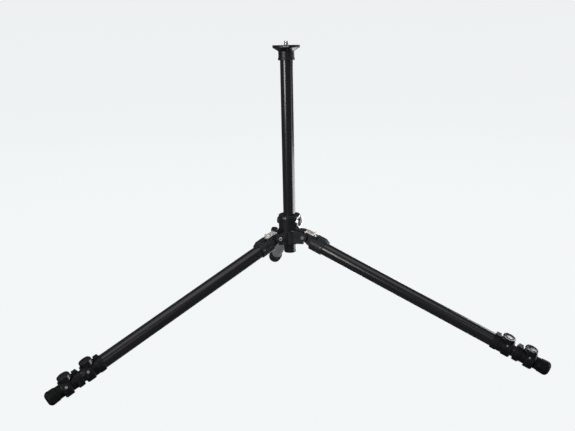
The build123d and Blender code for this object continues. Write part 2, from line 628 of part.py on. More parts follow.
def make_lever(across, end, name):
    """A flip lock's lever, shown closed: a thick disc over the ring, forked round the lug."""
    pin_at = end - LOCK_RING - PIN_BEHIND_RING
    tilted = turned(across, LEVER_TILT)
    with BuildPart() as lever:
        with BuildSketch(top_plane(tilted, 0)):
            with Locations((pin_at + DISC_CENTRE, 0)):
                Circle(DISC_R)
            with Locations((pin_at + (DISC_CENTRE - LEVER_ROOT_R) / 2, 0)):
                Rectangle(DISC_CENTRE + LEVER_ROOT_R, 2 * LEVER_ROOT_HALF)
        extrude(amount=LEVER_TOP + 5)
        with BuildSketch(side_plane(tilted)):
            with Locations((pin_at, PIN_HEIGHT)):
                Circle(LEVER_ROOT_R)
            with BuildLine():
                Polyline(
                    (pin_at, PIN_HEIGHT - LEVER_ROOT_R),
                    (pin_at + 3, PIN_HEIGHT - LEVER_ROOT_R),
                    (pin_at + 7, PIN_HEIGHT - 7),
                    (pin_at + DISC_CENTRE + DISC_R - 3, PIN_HEIGHT - 7),
                    (pin_at + DISC_CENTRE + DISC_R, PIN_HEIGHT - 4.5),
                    (pin_at + DISC_CENTRE + DISC_R, LEVER_TOP - 1.2),
                    (pin_at + DISC_CENTRE + DISC_R - 0.8, LEVER_TOP),
                    (pin_at, LEVER_TOP),
                    (pin_at - 3.0, PIN_HEIGHT + 2.6),
                    (pin_at - LEVER_ROOT_R, PIN_HEIGHT),
                    close=True,
                )
            make_face()
        extrude(amount=DISC_R + 1, both=True, mode=Mode.INTERSECT)
        with BuildSketch(across.offset(pin_at - 10)):
            Circle(RING_R + FIT)
        extrude(amount=DISC_CENTRE + DISC_R + 20, mode=Mode.SUBTRACT)
        with BuildSketch(top_plane(tilted, WEB_UNDER)):
            with Locations((pin_at + WEB_START / 2 - 5, 0)):
                Rectangle(WEB_START + 10, 2 * LUG_HALF_WIDTH + 2 * FIT)
        extrude(amount=-20, mode=Mode.SUBTRACT)
        with BuildSketch(top_plane(tilted, WEB_UNDER - 0.2)):
            with Locations((pin_at - 5.6, 0)):
                Rectangle(10, 2 * LUG_HALF_WIDTH + 2 * FIT)
        extrude(amount=5, mode=Mode.SUBTRACT)
        with BuildSketch(top_plane(tilted, LEVER_TOP - DISH_DEPTH)):
            with Locations((pin_at + DISC_CENTRE, 0)):
                Circle(DISH_R)
        extrude(amount=5, mode=Mode.SUBTRACT)
        with BuildSketch(side_plane(tilted)):
            with Locations((pin_at, PIN_HEIGHT)):
                Circle(PIN_R + SEAT)
        extrude(amount=DISC_R + 1, both=True, mode=Mode.SUBTRACT)
    save(lever, name)


def make_hardware(across, end, name):
    """A flip lock's steel: the lever's pin and the two screws in the ring's sides."""
    pin_at = end - LOCK_RING - PIN_BEHIND_RING
    tilted = turned(across, LEVER_TILT)
    with BuildPart() as hardware:
        with BuildSketch(side_plane(tilted)):
            with Locations((pin_at, PIN_HEIGHT)):
                Circle(PIN_R)
        extrude(amount=PIN_HALF_LENGTH, both=True)
        for back, angle, head_r in SIDE_SCREWS:
            with BuildSketch(screw_plane(across, end - back, angle, RING_R - 1.8 + SEAT)):
                Circle(head_r)
            extrude(amount=2.5)
            with BuildSketch(screw_plane(across, end - back, angle, RING_R + 0.1)):
                RegularPolygon(head_r * 0.55, 6)
            extrude(amount=2, mode=Mode.SUBTRACT)
    save(hardware, name)


def make_foot(across, name):
    """The rubber foot pushed over the end of the lower tube."""
    with BuildPart() as foot:
        with BuildSketch(side_plane(across)):
            with BuildLine():
                Polyline(
                    (FOOT_START, 0),
                    (FOOT_START, FOOT_RIM_R - 0.6),
                    (FOOT_START + 0.6, FOOT_RIM_R),
                    (FOOT_START + 9, FOOT_RIM_R),
                    (FOOT_START + 11, FOOT_RIM_R + 1.1),
                    (FOOT_END - 9, FOOT_R),
                )
                ThreePointArc(
                    (FOOT_END - 9, FOOT_R),
                    (FOOT_END - 2.6, FOOT_R - 2.6),
                    (FOOT_END, FOOT_R - 9),
                )
                Polyline((FOOT_END, FOOT_R - 9), (FOOT_END, 0), (FOOT_START, 0))
            make_face()
        revolve(axis=Axis(across.origin, across.z_dir))
        with BuildSketch(across.offset(FOOT_START - 1)):
            Circle(LOWER_R + SEAT)
        extrude(amount=FOOT_END - 8 - FOOT_START + 1, mode=Mode.SUBTRACT)
    save(foot, name)


for name, azimuth in LEGS:
    across = leg_plane(azimuth)
    upper_end = UPPER_LOCK_END - LOCK_RING - 2 - SEAT
    middle_end = LOWER_LOCK_END - LOCK_RING - 2 - SEAT
    make_shoulder(across, f"{name}_shoulder")
    make_latch(across, f"{name}_latch")
    make_tube(across, UPPER_R, UPPER_START, upper_end, f"{name}_upper_tube")
    make_clamp(across, UPPER_R, MIDDLE_R, UPPER_NECK_R, UPPER_LOCK_END, f"{name}_upper_clamp")
    make_lever(across, UPPER_LOCK_END, f"{name}_upper_lever")
    make_hardware(across, UPPER_LOCK_END, f"{name}_upper_hardware")
    make_tube(across, MIDDLE_R, MIDDLE_START, middle_end, f"{name}_middle_tube")
    make_bush(across, MIDDLE_R, UPPER_R - TUBE_WALL - FIT, MIDDLE_START, f"{name}_middle_bush")
    make_clamp(across, MIDDLE_R, LOWER_R, LOWER_NECK_R, LOWER_LOCK_END, f"{name}_lower_clamp")
    make_lever(across, LOWER_LOCK_END, f"{name}_lower_lever")
    make_hardware(across, LOWER_LOCK_END, f"{name}_lower_hardware")
    make_tube(across, LOWER_R, LOWER_START, FOOT_END - 8 - SEAT, f"{name}_lower_tube")
    make_bush(across, LOWER_R, MIDDLE_R - TUBE_WALL - FIT, LOWER_START, f"{name}_lower_bush")
    make_foot(across, f"{name}_foot")
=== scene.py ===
import json
from math import cos, pi, radians, sin

import bmesh
import bpy
from mathutils import Matrix, Vector


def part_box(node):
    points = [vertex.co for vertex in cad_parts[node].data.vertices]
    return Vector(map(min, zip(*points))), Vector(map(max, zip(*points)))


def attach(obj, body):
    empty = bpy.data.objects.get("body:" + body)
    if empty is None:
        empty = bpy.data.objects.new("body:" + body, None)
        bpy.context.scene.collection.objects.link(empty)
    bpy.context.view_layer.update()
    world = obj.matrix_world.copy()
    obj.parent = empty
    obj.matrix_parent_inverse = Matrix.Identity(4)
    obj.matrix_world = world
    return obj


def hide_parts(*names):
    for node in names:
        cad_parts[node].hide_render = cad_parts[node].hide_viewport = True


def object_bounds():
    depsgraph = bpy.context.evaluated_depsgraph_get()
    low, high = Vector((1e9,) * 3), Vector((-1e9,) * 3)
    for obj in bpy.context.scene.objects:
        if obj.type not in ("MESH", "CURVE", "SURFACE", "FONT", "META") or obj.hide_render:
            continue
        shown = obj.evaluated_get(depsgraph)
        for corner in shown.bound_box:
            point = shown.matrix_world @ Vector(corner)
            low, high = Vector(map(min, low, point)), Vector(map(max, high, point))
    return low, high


# A camera tripod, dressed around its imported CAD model, in the CAD model's frame. Places are in
# metres; profiles and sizes of detail pieces are in millimetres, times MM where they are used.
MM = 0.001

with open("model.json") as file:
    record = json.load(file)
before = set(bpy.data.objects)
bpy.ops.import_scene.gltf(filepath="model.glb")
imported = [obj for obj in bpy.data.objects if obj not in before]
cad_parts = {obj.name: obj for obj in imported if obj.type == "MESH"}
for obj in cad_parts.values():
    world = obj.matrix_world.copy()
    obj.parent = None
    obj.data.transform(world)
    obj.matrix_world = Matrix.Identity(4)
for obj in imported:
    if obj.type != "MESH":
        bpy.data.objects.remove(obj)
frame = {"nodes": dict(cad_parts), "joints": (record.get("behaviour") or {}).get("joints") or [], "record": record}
cad_low, cad_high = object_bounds()
nodes = frame["nodes"]
record = frame["record"]
joints = {j["name"]: j for j in frame["joints"]}
slot_of = {s["node"]: s["material_slot"] for s in record["subparts"]}
LEGS = ("rear", "left", "right")


# ---------------------------------------------------------------- places taken from the record
PIVOT_LIFT = 0.006  # the fold joint sits this far above the leg's own axis


def leg_matrix(leg):
    """A leg's own frame: origin on its axis beside the pivot, z down the leg, x to its top side."""
    fold = joints[f"{leg}_leg_fold"]
    along = Vector(joints[f"{leg}_middle_slide"]["axis"]).normalized()
    side = Vector(fold["axis"]).normalized()
    top = side.cross(along).normalized() * -1
    if top.z < 0:
        top = top * -1
    y_dir = along.cross(top)
    m = Matrix((top, y_dir, along)).transposed().to_4x4()
    m.translation = Vector(fold["pos_m"]) - top * PIVOT_LIFT
    return m


HUB = Matrix.Identity(4)
FRAMES = {"hub": HUB}
for leg in LEGS:
    FRAMES[leg] = leg_matrix(leg)


def frame_of(node):
    """The name of the frame that a node's grain follows."""
    first = node.split("_")[0]
    return first if first in LEGS else "hub"


# ---------------------------------------------------------------- camera
LENS_MM, SENSOR_MM = 42.57, 36.0
CAMERA_AT = Vector((-0.1342, -1.5066, -0.0125))
HEADING, PITCH, ROLL = radians(4.92), radians(13.6), radians(1.17)


def make_camera():
    """The camera at the photograph's viewing angle."""
    look = Vector((sin(HEADING) * cos(PITCH), cos(HEADING) * cos(PITCH), -sin(PITCH)))
    level_right = Vector((cos(HEADING), -sin(HEADING), 0))
    level_up = level_right.cross(look)
    right = level_right * cos(ROLL) - level_up * sin(ROLL)
    up = level_up * cos(ROLL) + level_right * sin(ROLL)
    data = bpy.data.cameras.new("camera")
    data.lens = LENS_MM
    data.sensor_width = SENSOR_MM
    data.sensor_fit = "HORIZONTAL"
    data.clip_start = 0.05
    data.clip_end = 60
    cam = bpy.data.objects.new("camera", data)
    m = Matrix((right, up, look * -1)).transposed().to_4x4()
    m.translation = CAMERA_AT
    cam.matrix_world = m
    bpy.context.scene.collection.objects.link(cam)
    bpy.context.scene.camera = cam


make_camera()


# ---------------------------------------------------------------- node material helpers
class Tree:
    """A small wrapper that makes and links shader nodes."""

    def __init__(self, name):
        self.material = bpy.data.materials.new(name)
        self.material.use_nodes = True
        self.nt = self.material.node_tree
        self.nt.nodes.clear()
        self.out = self.new("ShaderNodeOutputMaterial")
        self.bsdf = self.new("ShaderNodeBsdfPrincipled")
        self.link(self.bsdf.outputs["BSDF"], self.out.inputs["Surface"])

    def new(self, kind, **props):
        """A new node of a kind, with its properties set."""
        node = self.nt.nodes.new(kind)
        for key, value in props.items():
            setattr(node, key, value)
        return node

    def link(self, a, b):
        """A link from an output to an input."""
        self.nt.links.new(a, b)

    def local(self, matrix, scale=(1, 1, 1)):
        """Object coordinates turned into a frame's own axes."""
        coord = self.new("ShaderNodeTexCoord")
        mapping = self.new("ShaderNodeMapping", vector_type="TEXTURE")
        mapping.inputs["Location"].default_value = matrix.translation
        mapping.inputs["Rotation"].default_value = matrix.to_euler("XYZ")
        mapping.inputs["Scale"].default_value = scale
        self.link(coord.outputs["Object"], mapping.inputs["Vector"])
        return mapping.outputs["Vector"]

    def noise(self, vector, scale, detail=3.0, rough=0.55, distortion=0.0):
        """Cloudy noise, 0 to 1."""
        node = self.new("ShaderNodeTexNoise")
        node.inputs["Scale"].default_value = scale
        node.inputs["Detail"].default_value = detail
        node.inputs["Roughness"].default_value = rough
        node.inputs["Distortion"].default_value = distortion
        self.link(vector, node.inputs["Vector"])
        return node.outputs["Fac"]

    def pebbles(self, vector, scale):
        """Distance to the nearest of many soft-edged cells."""
        node = self.new("ShaderNodeTexVoronoi", feature="SMOOTH_F1")
        node.inputs["Scale"].default_value = scale
        self.link(vector, node.inputs["Vector"])
        return node.outputs["Distance"]

    def ramp(self, value, low, high, out_low=0.0, out_high=1.0, **props):
        """A value from one range carried over to another, and held at its ends."""
        node = self.new("ShaderNodeMapRange", **props)
        node.inputs["From Min"].default_value = low
        node.inputs["From Max"].default_value = high
        node.inputs["To Min"].default_value = out_low
        node.inputs["To Max"].default_value = out_high
        self.link(value, node.inputs["Value"])
        return node.outputs["Result"]

    def math(self, operation, a, b):
        """Two values, each a number or an output, put together."""
        node = self.new("ShaderNodeMath", operation=operation)
        for socket, value in zip(node.inputs, (a, b)):
            if isinstance(value, (int, float)):
                socket.default_value = value
            else:
                self.link(value, socket)
        return node.outputs["Value"]

    def blend(self, first, first_share, second):
        """A weighted sum of two outputs whose shares add to one."""
        return self.math("ADD", self.math("MULTIPLY", first, first_share),
                         self.math("MULTIPLY", second, round(1 - first_share, 6)))

    def mix(self, factor, a, b):
        """One colour laid over another, each a tuple or an output."""
        node = self.new("ShaderNodeMix", data_type="RGBA")
        self.link(factor, node.inputs["Factor"])
        for name, value in (("A", a), ("B", b)):
            socket = [s for s in node.inputs if s.name == name and s.type == "RGBA"][0]
            if isinstance(value, tuple):
                socket.default_value = (*value, 1)
            else:
                self.link(value, socket)
        return [s for s in node.outputs if s.type == "RGBA"][0]

    def edges(self, radius=0.0006):
        """1 on sharp edges and 0 on flats, for wear."""
        bevel = self.new("ShaderNodeBevel", samples=4)
        bevel.inputs["Radius"].default_value = radius
        geometry = self.new("ShaderNodeNewGeometry")
        dot = self.new("ShaderNodeVectorMath", operation="DOT_PRODUCT")
        self.link(bevel.outputs["Normal"], dot.inputs[0])
        self.link(geometry.outputs["Normal"], dot.inputs[1])
        return self.ramp(dot.outputs["Value"], 0.995, 0.90)

    def bump(self, height, distance, strength, rounded=None):
        """A raised grain, over edges that look rounded by a radius."""
        node = self.new("ShaderNodeBump")
        node.inputs["Distance"].default_value = distance
        node.inputs["Strength"].default_value = strength
        self.link(height, node.inputs["Height"])
        if rounded:
            bevel = self.new("ShaderNodeBevel", samples=4)
            bevel.inputs["Radius"].default_value = rounded
            self.link(bevel.outputs["Normal"], node.inputs["Normal"])
        return node.outputs["Normal"]

    def set(self, name, value):
        """A number, a colour or an output put on one of the shader's sockets."""
        socket = self.bsdf.inputs[name]
        if isinstance(value, (int, float)):
            socket.default_value = value
        elif isinstance(value, tuple):
            socket.default_value = (*value, 1)
        else:
            self.link(value, socket)


PLASTIC_GRAIN = 0.00045  # metres from one pebble of the moulded texture to the next


def texture_plastic(name, matrix, dark, light, rough=(0.42, 0.6), specular=0.4):
    """Moulded plastic or powder coat: fine pebbled grain, dusty patches, paler rubbed edges."""
    t = Tree(name)
    v = t.local(matrix)
    patches = t.ramp(t.noise(v, 55, 4), 0.35, 0.7)
    fine = t.pebbles(v, 1 / PLASTIC_GRAIN)
    grit = t.noise(v, 1.4 / PLASTIC_GRAIN, 2)
    rubbed = t.math("MULTIPLY", t.edges(), t.ramp(t.noise(v, 160, 3), 0.42, 0.62))
    color = t.mix(patches, dark, light)
    color = t.mix(t.math("MULTIPLY", rubbed, 0.55), color, (0.10, 0.10, 0.105))
    t.set("Base Color", color)
    roughness = t.ramp(t.blend(patches, 0.7, grit), 0.1, 0.9, *rough)
    roughness = t.math("SUBTRACT", roughness, t.math("MULTIPLY", rubbed, 0.12))
    t.set("Roughness", roughness)
    t.set("Specular IOR Level", specular)
    height = t.math("ADD", fine, t.math("MULTIPLY", grit, 0.6))
    t.set("Normal", t.bump(height, 0.00004, 0.6, rounded=0.0004))
    return t.material


def anodised_tube(name, matrix, dark, light):
    """Black anodised tube: lines drawn along its length, soft wear bands, faint warm tint."""
    t = Tree(name)
    lines = t.noise(t.local(matrix, (0.0009, 0.0009, 0.09)), 1.0, 4, 0.6)
    broad = t.noise(t.local(matrix, (0.02, 0.02, 0.14)), 1.0, 3)
    tint = t.ramp(t.noise(t.local(matrix, (0.012, 0.012, 0.3)), 1.0, 2), 0.38, 0.68)
    scuffs = t.ramp(t.noise(t.local(matrix, (0.004, 0.004, 0.0006)), 1.0, 2), 0.68, 0.76)
    color = t.mix(t.ramp(lines, 0.3, 0.7), dark, light)
    color = t.mix(t.math("MULTIPLY", tint, 0.14), color, (0.020, 0.0155, 0.0125))
    color = t.mix(t.math("MULTIPLY", scuffs, 0.25), color, (0.12, 0.12, 0.12))
    t.set("Base Color", color)
    roughness = t.ramp(t.blend(broad, 0.7, lines), 0.3, 0.7, 0.16, 0.25)
    roughness = t.math("ADD", roughness, t.math("MULTIPLY", scuffs, 0.1))
    t.set("Roughness", roughness)
    t.set("Specular IOR Level", 0.5)
    t.set("Specular Tint", (1.0, 0.98, 0.965))
    t.set("Normal", t.bump(lines, 0.00002, 0.5))
    return t.material


def metal(name, matrix, color, rough):
    """Bare metal: brushed lines, cloudy handling marks, brighter worn edges."""
    t = Tree(name)
    v = t.local(matrix)
    lines = t.noise(t.local(matrix, (0.0006, 0.0006, 0.02)), 1.0, 3, 0.6)
    clouds = t.ramp(t.noise(v, 90, 4, 0.6), 0.35, 0.7)
    stain = tuple(c * 0.6 for c in color)
    shade = t.mix(t.math("MULTIPLY", clouds, 0.6), color, stain)
    bright = tuple(min(1.0, c * 1.25) for c in color)
    shade = t.mix(t.math("MULTIPLY", t.edges(), 0.6), shade, bright)
    t.set("Base Color", shade)
    t.set("Metallic", 1.0)
    t.set("Roughness", t.ramp(t.blend(clouds, 0.5, lines), 0.2, 0.8, *rough))
    t.set("Normal", t.bump(lines, 0.00002, 0.6, rounded=0.0003))
    return t.material


def satin_metal(name, matrix, color, stain):
    """Bead-blasted alloy: pale and soft, with handling stains and brighter rubbed edges."""
    t = Tree(name)
    v = t.local(matrix)
    clouds = t.ramp(t.noise(v, 110, 4, 0.6), 0.40, 0.75)
    blast = t.noise(v, 3200, 2)
    shade = t.mix(t.math("MULTIPLY", clouds, 0.5), color, stain)
    shade = t.mix(t.math("MULTIPLY", t.edges(0.0007), 0.7), shade, (0.95, 0.94, 0.92))
    t.set("Base Color", shade)
    t.set("Metallic", 0.3)
    t.set("Roughness", t.ramp(t.blend(clouds, 0.6, blast), 0.2, 0.8, 0.30, 0.50))
    t.set("Normal", t.bump(blast, 0.00003, 0.5, rounded=0.0004))
    return t.material


def gloss_plastic(name, matrix, dark, light, rough, specular):
    """Black plastic polished by hands: smeared gloss, hairline scratches, a faint ripple."""
    t = Tree(name)
    v = t.local(matrix)
    smear = t.noise(v, 70, 4, 0.6, 0.6)
    hair = t.ramp(t.noise(t.local(matrix, (0.0004, 0.006, 0.006)), 1.0, 2), 0.64, 0.72)
    rubbed = t.math("MULTIPLY", t.edges(), t.ramp(t.noise(v, 220, 2), 0.4, 0.6))
    color = t.mix(t.ramp(smear, 0.35, 0.7), dark, light)
    color = t.mix(t.math("MULTIPLY", hair, 0.15), color, (0.16, 0.16, 0.16))
    color = t.mix(t.math("MULTIPLY", rubbed, 0.4), color, (0.13, 0.13, 0.135))
    t.set("Base Color", color)
    t.set("Roughness", t.ramp(smear, 0.3, 0.7, *rough))
    t.set("Specular IOR Level", specular)
    t.set("Normal", t.bump(smear, 0.00003, 0.4, rounded=0.0005))
    return t.material


def rubber(name, matrix):
    """Matt black rubber: dull, dusty in patches, with a fine open texture."""
    t = Tree(name)
    v = t.local(matrix)
    dust = t.ramp(t.noise(v, 80, 5, 0.65), 0.42, 0.72)
    pores = t.noise(v, 2600, 2)
    color = t.mix(t.math("MULTIPLY", dust, 0.7), (0.003, 0.003, 0.0036), (0.009, 0.009, 0.0096))
    color = t.mix(t.math("MULTIPLY", t.edges(0.001), 0.3), color, (0.03, 0.0295, 0.029))
    t.set("Base Color", color)
    t.set("Roughness", t.ramp(dust, 0, 1, 0.55, 0.82))
    t.set("Specular IOR Level", 0.12)
    t.set("Normal", t.bump(pores, 0.00005, 0.6, rounded=0.0005))
    return t.material


def warm_inlay(name, matrix):
    """Worn warm lacquer on the latch: pinkish brown, rubbed pale in patches."""
    t = Tree(name)
    v = t.local(matrix)
    worn = t.ramp(t.noise(v, 240, 4, 0.6), 0.42, 0.66)
    fine = t.noise(v, 2400, 2)
    color = t.mix(worn, (0.46, 0.33, 0.28), (0.66, 0.58, 0.52))
    t.set("Base Color", color)
    t.set("Metallic", 0.15)
    t.set("Roughness", t.ramp(fine, 0.3, 0.7, 0.36, 0.52))
    t.set("Normal", t.bump(fine, 0.00003, 0.5, rounded=0.0003))
    return t.material


# each slot's maker and what it takes: dark and light colour, roughness, specular level, and so on
MAKERS = {
    "cast_black": (texture_plastic, (0.0135, 0.014, 0.0175), (0.023, 0.024, 0.030),
                   (0.38, 0.54), 0.24),
    "collar_black": (texture_plastic, (0.006, 0.0064, 0.009), (0.012, 0.0128, 0.017),
                     (0.36, 0.5), 0.3),
    "liner_plastic": (texture_plastic, (0.020, 0.020, 0.021), (0.032, 0.032, 0.033)),
    "tube_black": (anodised_tube, (0.0078, 0.0083, 0.0102), (0.0122, 0.0128, 0.0156)),
    "inner_tube_black": (anodised_tube, (0.010, 0.0103, 0.0115), (0.016, 0.0163, 0.018)),
    "lock_plastic": (texture_plastic, (0.0032, 0.0034, 0.0046), (0.007, 0.0075, 0.010),
                     (0.40, 0.56), 0.18),
    "lever_plastic": (gloss_plastic, (0.0035, 0.0037, 0.005), (0.008, 0.0085, 0.011),
                      (0.17, 0.28), 0.4),
    "latch_metal": (satin_metal, (0.88, 0.87, 0.84), (0.66, 0.62, 0.57)),
    "bezel_metal": (metal, (0.90, 0.905, 0.91), (0.16, 0.26)),
    "steel": (metal, (0.72, 0.72, 0.73), (0.2, 0.34)),
    "dark_steel": (metal, (0.14, 0.14, 0.145), (0.3, 0.45)),
    "plate_black": (texture_plastic, (0.005, 0.0053, 0.0075), (0.011, 0.0115, 0.0155),
                    (0.32, 0.44), 0.32),
    "cap_plastic": (gloss_plastic, (0.006, 0.006, 0.008), (0.011, 0.011, 0.014), (0.2, 0.32), 0.12),
    "pad_nylon": (texture_plastic, (0.55, 0.53, 0.48), (0.72, 0.70, 0.64), (0.4, 0.55)),
    "bush_plastic": (texture_plastic, (0.045, 0.045, 0.047), (0.065, 0.065, 0.068)),
    "foot_rubber": (rubber,),
    # finishes that differ from their slot's own
    "screw_steel": (metal, (0.34, 0.34, 0.35), (0.28, 0.42)),
    "badge_grey": (satin_metal, (0.23, 0.23, 0.24), (0.15, 0.15, 0.155)),
}
made = {}


def material_for(slot, frame_name):
    """The material of a slot, with its grain in one leg's or the hub's frame."""
    key = f"{slot}_{frame_name}"
    if key not in made:
        maker, *look = MAKERS[slot]
        made[key] = maker(key, FRAMES[frame_name], *look)
    return made[key]


def put_material(obj, material):
    """The one material of an object."""
    obj.data.materials.clear()
    obj.data.materials.append(material)


for name, obj in nodes.items():
    kind = "screw_steel" if name.endswith("_hardware") or name == "pivot_bolts" else slot_of[name]
    put_material(obj, material_for(kind, frame_of(name)))


# ---------------------------------------------------------------- detail pieces
SHARP_ABOVE = radians(32)  # edges that turn by more than this stay crisp


def mesh_piece(name, verts, faces, body, slot, frame_name, material=None):
    """A mesh in the row's frame that rides on a body and has a slot's finish."""
    mesh = bpy.data.meshes.new(name)
    mesh.from_pydata([tuple(v) for v in verts], [], faces)
    work = bmesh.new()
    work.from_mesh(mesh)
    bmesh.ops.recalc_face_normals(work, faces=work.faces)
    work.to_mesh(mesh)
    work.free()
    obj = bpy.data.objects.new(name, mesh)
    bpy.context.scene.collection.objects.link(obj)
    for p in mesh.polygons:
        p.use_smooth = True
    mesh.set_sharp_from_angle(angle=SHARP_ABOVE)
    put_material(obj, material or material_for(slot, frame_name))
    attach(obj, body)
    return obj


def turned_mesh(matrix, profile, count=64, closed=False, ripple=None):
    """Vertices and faces of a profile, (radius, height) in mm, turned about a frame's z axis."""
    verts, faces, rows = [], [], []
    for radius, height in profile:
        if radius == 0:
            rows.append([len(verts)])
            verts.append(matrix @ Vector((0, 0, height * MM)))
            continue
        row = []
        for i in range(count):
            a = 2 * pi * i / count
            r = (ripple(a, radius, height) if ripple else radius) * MM
            row.append(len(verts))
            verts.append(matrix @ Vector((r * cos(a), r * sin(a), height * MM)))
        rows.append(row)
    pairs = list(zip(rows, rows[1:]))
    if closed:
        pairs.append((rows[-1], rows[0]))
    for low, high in pairs:
        for i in range(count):
            j = (i + 1) % count
            if len(low) == 1:
                faces.append((low[0], high[i], high[j]))
            elif len(high) == 1:
                faces.append((low[i], high[0], low[j]))
            else:
                faces.append((low[i], high[i], high[j], low[j]))
    return verts, faces


def turned_piece(name, matrix, profile, body, slot, frame_name, **options):
    """A turned mesh as a piece of a body."""
    verts, faces = turned_mesh(matrix, profile, **options)
    return mesh_piece(name, verts, faces, body, slot, frame_name)


def axis_frame(origin, axis, x_dir):
    """A frame with its z along an axis and its x as near x_dir as can be."""
    z = Vector(axis).normalized()
    y = z.cross(Vector(x_dir)).normalized()
    m = Matrix((y.cross(z), y, z)).transposed().to_4x4()
    m.translation = Vector(origin)
    return m


def turned_frame(matrix, angle, along=0.0, out=0.0):
    """On a leg: z down the leg and x facing straight out at an angle from the top, in degrees."""
    turn = Matrix.Rotation(radians(angle), 4, "Z")
    return matrix @ turn @ Matrix.Translation((out * MM, 0, along * MM))


def facing_out(matrix):
    """The same place with z straight out of the leg and x down it."""
    return matrix @ Matrix(((0, 0, 1, 0), (0, 1, 0, 0), (1, 0, 0, 0), (0, 0, 0, 1)))


def join(parts):
    """Several (vertices, faces) lists as one."""
    verts, faces = [], []
    for v, f in parts:
        start = len(verts)
        verts += v
        faces += [tuple(i + start for i in face) for face in f]
    return verts, faces


def strip_faces(steps, count, ends=True):
    """Quads along a strip whose cross section has count points, with its two end faces or not."""
    faces = []
    for k in range(steps):
        low, high = k * count, (k + 1) * count
        for i in range(count):
            j = (i + 1) % count
            faces.append((low + i, low + j, high + j, high + i))
    if ends:
        faces.append(tuple(range(count)))
        faces.append(tuple(range(steps * count, (steps + 1) * count))[::-1])
    return faces


def pad_mesh(matrix, length, width, height, corner, edge):
    """A low rounded pad in mm: x is its length, y its width, z from 0 to its height."""
    outline = []
    for cx, cy, start in ((1, 1, 0), (-1, 1, 90), (-1, -1, 180), (1, -1, 270)):
        for step in range(7):
            a = radians(start + step * 15)
            outline.append((cx * (length / 2 - corner), cy * (width / 2 - corner), cos(a), sin(a)))
    verts, faces, count = [], [], len(outline)
    layers = ((0.0, 0.0), (height - edge, 0.0), (height - edge * 0.3, -edge * 0.3), (height, -edge))
    for level, inset in layers:
        for x, y, ca, sa in outline:
            px, py = x + (corner + inset) * ca, y + (corner + inset) * sa
            verts.append(matrix @ Vector((px * MM, py * MM, level * MM)))
    for layer in range(len(layers) - 1):
        for i in range(count):
            j = (i + 1) % count
            a, b = layer * count, (layer + 1) * count
            faces.append((a + i, a + j, b + j, b + i))
    faces.append(tuple(range(count))[::-1])
    last = (len(layers) - 1) * count
    faces.append(tuple(range(last, last + count)))
    return verts, faces


def dome_mesh(matrix, radius, height):
    """A small domed rivet head in mm, its base at z 0."""
    profile = [(0, -0.6), (radius, -0.6), (radius, 0.0)]
    for step in range(1, 6):
        a = step / 6 * pi / 2
        profile.append((radius * cos(a), height * sin(a)))
    profile.append((0, height))
    return turned_mesh(matrix, profile, count=20)


# the stud: a rolled thread, sixteen turns to the inch
THREAD_PITCH, THREAD_DEPTH, THREAD_CREST, THREAD_ROWS = 1.5875, 0.78, 4.72, 64
STUD_TIP_R, STUD_SEAT_R, THREAD_START = 3.2, 5.9, -0.4
stud_low, stud_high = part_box("head_stud")
STUD_TOP = stud_high.z / MM


def stud_profile():
    """The stud from its buried seat to its flat tip, with a fine row of points for the thread."""
    rows = [(0, stud_low.z / MM), (STUD_SEAT_R, stud_low.z / MM), (STUD_SEAT_R, -5.0), (4.9, -4.8)]
    for step in range(THREAD_ROWS + 1):
        rows.append((THREAD_CREST, THREAD_START + (STUD_TOP - THREAD_START) * step / THREAD_ROWS))
    return rows + [(STUD_TIP_R, STUD_TOP), (0, STUD_TOP)]


def stud_ripple(angle, radius, height):
    """The thread's radius at a place, cut back to a chamfer near the tip."""
    if height < THREAD_START - 0.01 or radius != THREAD_CREST:
        return radius
    phase = (height / THREAD_PITCH - angle / (2 * pi)) % 1.0
    thread = abs(2 * phase - 1)
    cut = THREAD_DEPTH * min(1.0, max(0.0, 1.25 * thread - 0.12))
    chamfer = max(0.0, height - (STUD_TOP - 0.9)) * 0.9
    return max(STUD_TIP_R, min(THREAD_CREST - cut, THREAD_CREST - chamfer))


stud = turned_piece("head_stud_thread", HUB, stud_profile(), "column", "steel", "hub",
                    count=72, ripple=stud_ripple)
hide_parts("head_stud")

# the cross sleeve's ring: its face is dished towards the cap, with a turned groove
ring_low, ring_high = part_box("sleeve_bezel")
sleeve_axis = Vector(joints["lock_knob_turn"]["axis"]) * -1
sleeve_at = (Vector(ring_low) + Vector(ring_high)) / 2
SLEEVE = axis_frame(sleeve_at, sleeve_axis, (0, 0, 1))
RING_PROFILE = [
    (10.2, -1.88), (15.1, -1.88), (15.38, -1.6), (15.38, 1.2), (15.2, 1.65), (14.8, 1.88),
    (14.5, 1.84), (11.9, 1.20), (11.75, 1.02), (11.6, 1.12), (10.8, 0.92), (10.4, 0.76),
    (10.2, 0.5),
]
sleeve_ring = turned_piece("sleeve_dished_ring", SLEEVE, RING_PROFILE, "hub", "bezel_metal", "hub",
                           count=96, closed=True)
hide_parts("sleeve_bezel")

# a raised boss with a turned groove on the dark cap in the ring
CAP_PROFILE = [
    (0, 1.0), (7.6, 1.0), (7.6, 3.25), (7.3, 3.5), (6.6, 3.56), (6.3, 3.36), (6.0, 3.58),
    (3.0, 3.78), (0, 3.86),
]
turned_piece("sleeve_cap_face", SLEEVE, CAP_PROFILE, "hub", "cap_plastic", "hub", count=64)


# a painted highlight, a bright metal strip on the lit side only where the collar meets the spider, and the blank
# badges
COLLAR_R = 24.8
BADGE_STEPS, BADGE_EDGE = 16, 0.12
BADGE_ROUNDED_FROM, BADGE_PULL = 0.86, 0.35  # where a badge's ends start to narrow, and by how much
collar_low, collar_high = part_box("collar")
PLATE_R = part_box("head_plate")[1].x / MM
COLLAR_TOP = collar_high.z / MM
SEAM = collar_low.z / MM + 0.05


